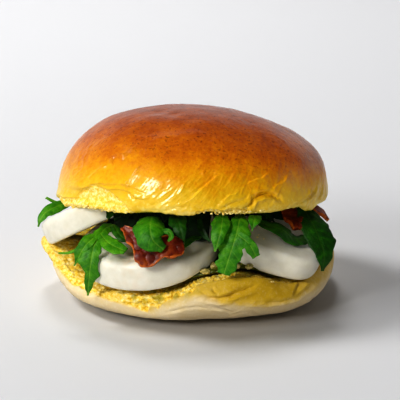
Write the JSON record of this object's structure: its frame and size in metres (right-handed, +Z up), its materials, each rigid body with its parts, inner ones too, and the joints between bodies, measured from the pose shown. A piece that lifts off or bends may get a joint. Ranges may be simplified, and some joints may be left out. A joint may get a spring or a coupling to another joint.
{
  "type": "pesto mozzarella brioche sandwich",
  "caption": "Round glazed brioche bun, cut across and filled with thick mozzarella slices, pesto, rocket leaves and sun-dried tomato.",
  "frame": {"origin": "middle of the underside of the bounding box, on the surface the sandwich stands on", "axes": "+Z up, -Y towards the front where the bun gapes and the filling shows, +X to the right of someone who looks at that front"},
  "size_m": [0.1214, 0.1194, 0.0765],
  "materials": {
    "glazed_crust": "egg-washed brioche crust, brown on top and yellow low down",
    "pale_crust": "floury pale crust with a torn yellow crumb",
    "mozzarella": "moist, smooth and milky",
    "pesto": "oily and lumpy, with bits of pine nut",
    "rocket": "satin leaf with a pale midrib",
    "dried_tomato": "wrinkled and oily"
  },
  "bodies": {
    "root": {"base_bun": "pale_crust", "pesto": "pesto", "mozzarella_left": "mozzarella", "mozzarella_centre": "mozzarella", "mozzarella_right": "mozzarella", "mozzarella_back": "mozzarella", "rocket_bed": "rocket", "leaf_far_left": "rocket", "leaf_lobed_left": "rocket", "leaf_folded_left": "rocket", "leaf_centre": "rocket", "leaf_dark_centre": "rocket", "leaf_sliver": "rocket", "leaf_inner": "rocket", "leaf_narrow": "rocket", "leaf_lobed_right": "rocket", "leaf_tip_right": "rocket", "leaf_on_slice": "rocket", "leaf_far_right": "rocket", "leaf_edge_1": "rocket", "leaf_edge_2": "rocket", "leaf_edge_3": "rocket", "leaf_edge_4": "rocket", "leaf_edge_5": "rocket", "tomato_centre": "dried_tomato", "tomato_right": "dried_tomato", "tomato_far_right": "dried_tomato", "lid_bun": "glazed_crust"}
  },
  "joints": []
}
